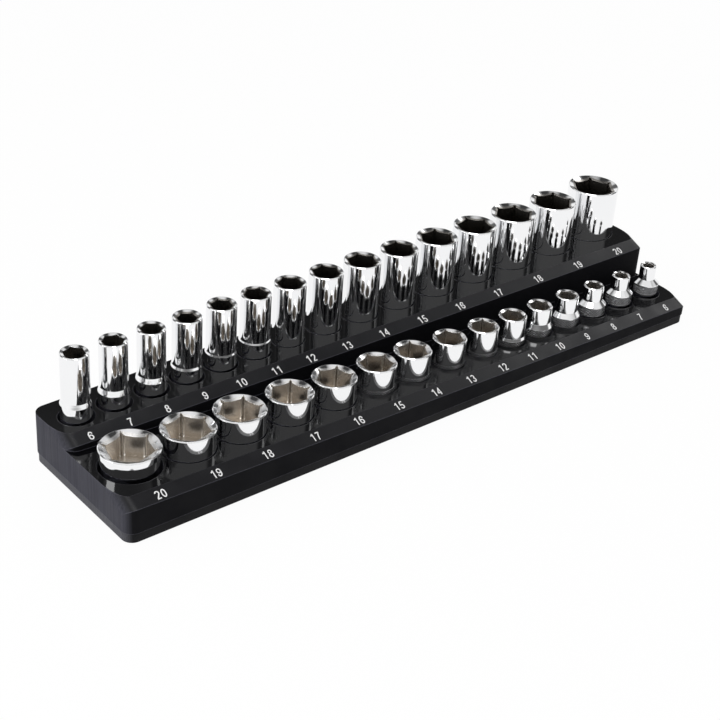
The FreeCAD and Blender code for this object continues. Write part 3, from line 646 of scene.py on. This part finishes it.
def pale_floor():
    """White where it is seen or mirrored, with a trace of the tray's shadow."""
    floor = stage_plane("floor", FLOOR_SIZE)
    floor.location.z = -FLOOR_DROP
    material = new_material("pale_floor")
    graph = Graph(material)
    graph.shader.inputs["Base Color"].default_value = FLOOR_COLOUR
    graph.shader.inputs["Roughness"].default_value = FLOOR_ROUGHNESS
    glow = graph.node("ShaderNodeEmission")
    glow.inputs["Color"].default_value = WHITE
    blend = graph.node("ShaderNodeMixShader")
    graph.link(graph.math("MULTIPLY", seen_or_reflected(graph), FLOOR_WHITE), blend.inputs["Fac"])
    graph.link(graph.shader.outputs[0], blend.inputs[1])
    graph.link(glow.outputs[0], blend.inputs[2])
    graph.link(blend.outputs[0], graph.output.inputs["Surface"])
    floor.data.materials.append(material)


# What polished faces reflect above the horizon, as pairs of the sine of the height and the brightness.
# Behind the tray: a white sweep, a dim room and the soft box overhead.  In front of it: a wall of light.
BEHIND = [(0.0, 1.0), (0.28, 0.9), (0.37, 0.12), (0.55, 0.12), (0.62, 0.7), (0.74, 0.7), (0.82, 0.05),
          (0.92, 0.05), (0.96, 0.7), (1.0, 0.9)]
IN_FRONT = [(0.0, 1.0), (0.05, 0.15), (0.28, 0.15), (0.40, 0.55), (0.70, 0.9), (1.0, 0.85)]
FRONT = Vector((-0.66, -0.75, 0.0))        # level direction from the tray to the wall of light
FRONT_FROM = (-0.15, 0.10)                 # dot product with FRONT where the wall starts, and is whole
WORLD_LEVEL = 0.60                         # even light on everything that is neither seen nor mirrored


def pale_world():
    """White for the camera, a studio in reflections, and a plain even level on the object."""
    world = bpy.data.worlds.new("studio")
    bpy.context.scene.world = world
    world.use_nodes = True
    tree = world.node_tree
    background = tree.nodes["Background"]

    def made(kind, **values):
        node = tree.nodes.new(kind)
        for name, value in values.items():
            setattr(node, name, value)
        return node

    direction = made("ShaderNodeTexCoord").outputs["Generated"]
    height = made("ShaderNodeSeparateXYZ")
    tree.links.new(direction, height.inputs[0])

    def ramp(levels):
        made_ramp = made("ShaderNodeValToRGB")
        stops = made_ramp.color_ramp.elements
        while len(stops) < len(levels):
            stops.new(0.5)
        for stop, (place, level) in zip(stops, levels):
            stop.position = place
            stop.color = (level, level, level, 1.0)
        tree.links.new(height.outputs["Z"], made_ramp.inputs["Fac"])
        return made_ramp.outputs["Color"]

    forward = made("ShaderNodeVectorMath", operation="DOT_PRODUCT")
    tree.links.new(direction, forward.inputs[0])
    forward.inputs[1].default_value = FRONT
    side = made("ShaderNodeMapRange", clamp=True)
    tree.links.new(forward.outputs["Value"], side.inputs["Value"])
    side.inputs["From Min"].default_value, side.inputs["From Max"].default_value = FRONT_FROM
    room = made("ShaderNodeMix", data_type="RGBA")
    tree.links.new(side.outputs["Result"], room.inputs["Factor"])
    tree.links.new(ramp(BEHIND), room.inputs["A"])
    tree.links.new(ramp(IN_FRONT), room.inputs["B"])
    path = made("ShaderNodeLightPath")
    even = made("ShaderNodeMix", data_type="RGBA")
    even.inputs["A"].default_value = (WORLD_LEVEL, WORLD_LEVEL, WORLD_LEVEL, 1.0)
    tree.links.new(path.outputs["Is Glossy Ray"], even.inputs["Factor"])
    tree.links.new(room.outputs["Result"], even.inputs["B"])
    seen = made("ShaderNodeMix", data_type="RGBA")
    seen.inputs["B"].default_value = WHITE
    tree.links.new(path.outputs["Is Camera Ray"], seen.inputs["Factor"])
    tree.links.new(even.outputs["Result"], seen.inputs["A"])
    tree.links.new(seen.outputs["Result"], background.inputs["Color"])
    background.inputs["Strength"].default_value = 1.0


def soft_box(name, place, aim, size, power):
    """An oblong lamp at a place, turned to what it aims at; metres and watts."""
    data = bpy.data.lights.new(name, "AREA")
    data.shape = "RECTANGLE"
    data.size = size[0]
    data.size_y = size[1]
    data.energy = power
    lamp = bpy.data.objects.new(name, data)
    lamp.location = place
    lamp.rotation_euler = (Vector(aim) - Vector(place)).to_track_quat("-Z", "Y").to_euler()
    bpy.context.scene.collection.objects.link(lamp)


IMAGE_WIDTH = 720                          # pixels
FOCAL_LENGTH = 1502.9                      # pixels of that image
SENSOR = 36.0                              # Blender's own unit for both is the millimetre
CAMERA_PLACE = Vector((-463.5, -497.4, 411.7)) * MM
CAMERA_RIGHT = Vector((0.77209, -0.63223, 0.06449))
CAMERA_DOWN = Vector((-0.27896, -0.42835, -0.85947))
CAMERA_FORWARD = Vector((0.57101, 0.64560, -0.50710))
CLIP = (0.01, 50.0)


def studio_camera():
    """The photograph's view: no shift, a slight roll, about 42 degrees round to the left and 30 up."""
    data = bpy.data.cameras.new("camera")
    data.sensor_width = SENSOR
    data.lens = FOCAL_LENGTH / IMAGE_WIDTH * SENSOR
    data.clip_start, data.clip_end = CLIP
    camera = bpy.data.objects.new("camera", data)
    turn = Matrix((CAMERA_RIGHT, -CAMERA_DOWN, -CAMERA_FORWARD)).transposed()
    camera.matrix_world = Matrix.Translation(CAMERA_PLACE) @ turn.to_4x4()
    bpy.context.scene.collection.objects.link(camera)
    bpy.context.scene.camera = camera


pale_floor()
pale_world()
soft_box("top_light", (-0.35, -0.30, 1.2), (0, 0, 0), (0.7, 0.5), 5.0)
soft_box("left_light", (-1.3, 0.25, 0.35), (-0.1, 0, 0.02), (0.7, 0.5), 7.0)
soft_box("right_light", (1.25, 0.05, 0.95), (0.05, 0, 0.02), (0.5, 0.5), 2.0)
studio_camera()
bpy.context.scene.view_settings.view_transform = "Standard"
